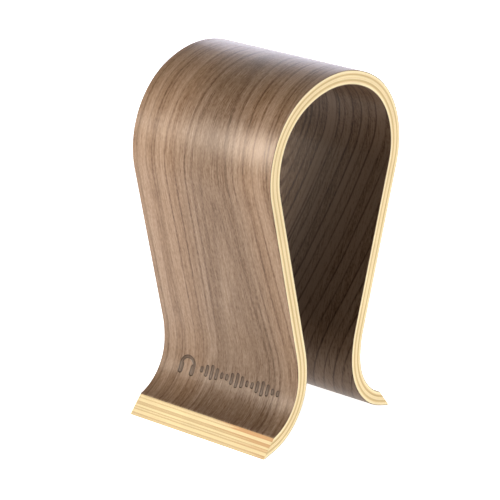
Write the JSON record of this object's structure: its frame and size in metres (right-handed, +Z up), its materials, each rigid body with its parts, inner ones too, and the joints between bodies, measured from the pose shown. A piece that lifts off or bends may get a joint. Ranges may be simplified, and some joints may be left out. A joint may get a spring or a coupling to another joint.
{
  "type": "headphone stand",
  "caption": "Bent plywood stand in the shape of an omega: headphones hang over its round top, and its two splayed feet stand on a table.",
  "frame": {"origin": "on the table, under the middle of the stand", "axes": "+Z up, +X across the strip's width, -Y towards the leg with the engraved mark"},
  "size_m": [0.125, 0.144, 0.265],
  "materials": {
    "walnut_outer": "satin",
    "walnut_inner": "satin",
    "core_long_grain": "matte",
    "core_cross_grain": "matte"
  },
  "bodies": {
    "root": {"outer_walnut_veneer": "walnut_outer", "core_ply_1": "core_long_grain", "core_ply_2": "core_cross_grain", "core_ply_3": "core_long_grain", "core_ply_4": "core_cross_grain", "core_ply_5": "core_long_grain", "core_ply_6": "core_cross_grain", "core_ply_7": "core_long_grain", "inner_walnut_veneer": "walnut_inner"}
  },
  "joints": []
}
